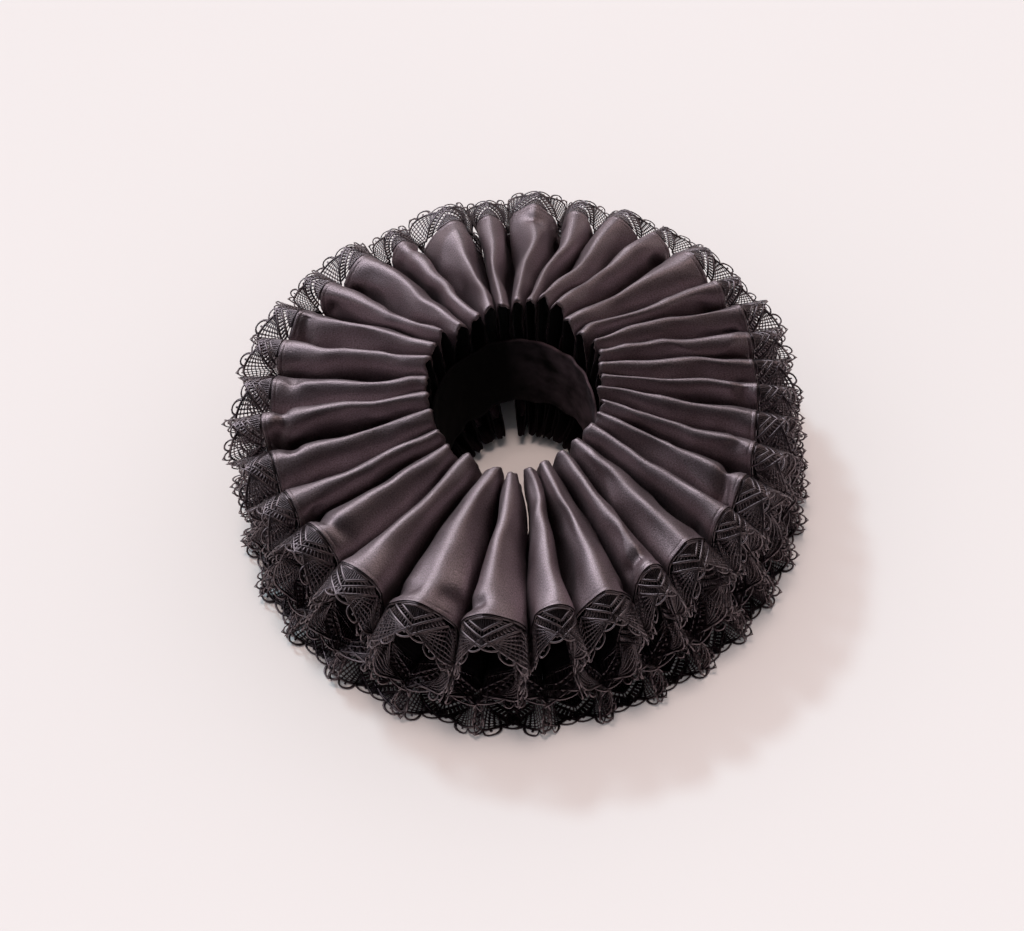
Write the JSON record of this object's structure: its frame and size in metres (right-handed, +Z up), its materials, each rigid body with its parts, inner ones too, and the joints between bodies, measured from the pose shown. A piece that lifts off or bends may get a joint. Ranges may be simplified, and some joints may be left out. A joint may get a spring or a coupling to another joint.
{
  "type": "ruff collar",
  "caption": "Round pleated ruff collar of black satin with a scalloped lace edging and a plain neckband, open at the front, lying on a surface.",
  "frame": {"origin": "on the surface that the collar lies on, at the middle of the collar's box", "axes": "+Z up along the neck's axis, -Y towards the collar's front opening, +X towards the wearer's left side"},
  "size_m": [0.402, 0.4028, 0.1376],
  "materials": {
    "satin": "black satin, soft sheen",
    "lace": "black guipure lace, matte thread",
    "cotton": "black cotton, matte"
  },
  "bodies": {
    "root": {"satin_strip_1": "satin", "satin_strip_2": "satin", "satin_strip_3": "satin", "satin_strip_4": "satin", "satin_strip_5": "satin", "satin_strip_6": "satin", "satin_strip_7": "satin", "satin_strip_8": "satin", "satin_strip_9": "satin", "satin_strip_10": "satin", "satin_strip_11": "satin", "lace_edging_1": "lace", "lace_edging_2": "lace", "lace_edging_3": "lace", "lace_edging_4": "lace", "lace_edging_5": "lace", "lace_edging_6": "lace", "lace_edging_7": "lace", "lace_edging_8": "lace", "lace_edging_9": "lace", "lace_edging_10": "lace", "lace_edging_11": "lace", "neckband": "cotton"}
  },
  "joints": []
}
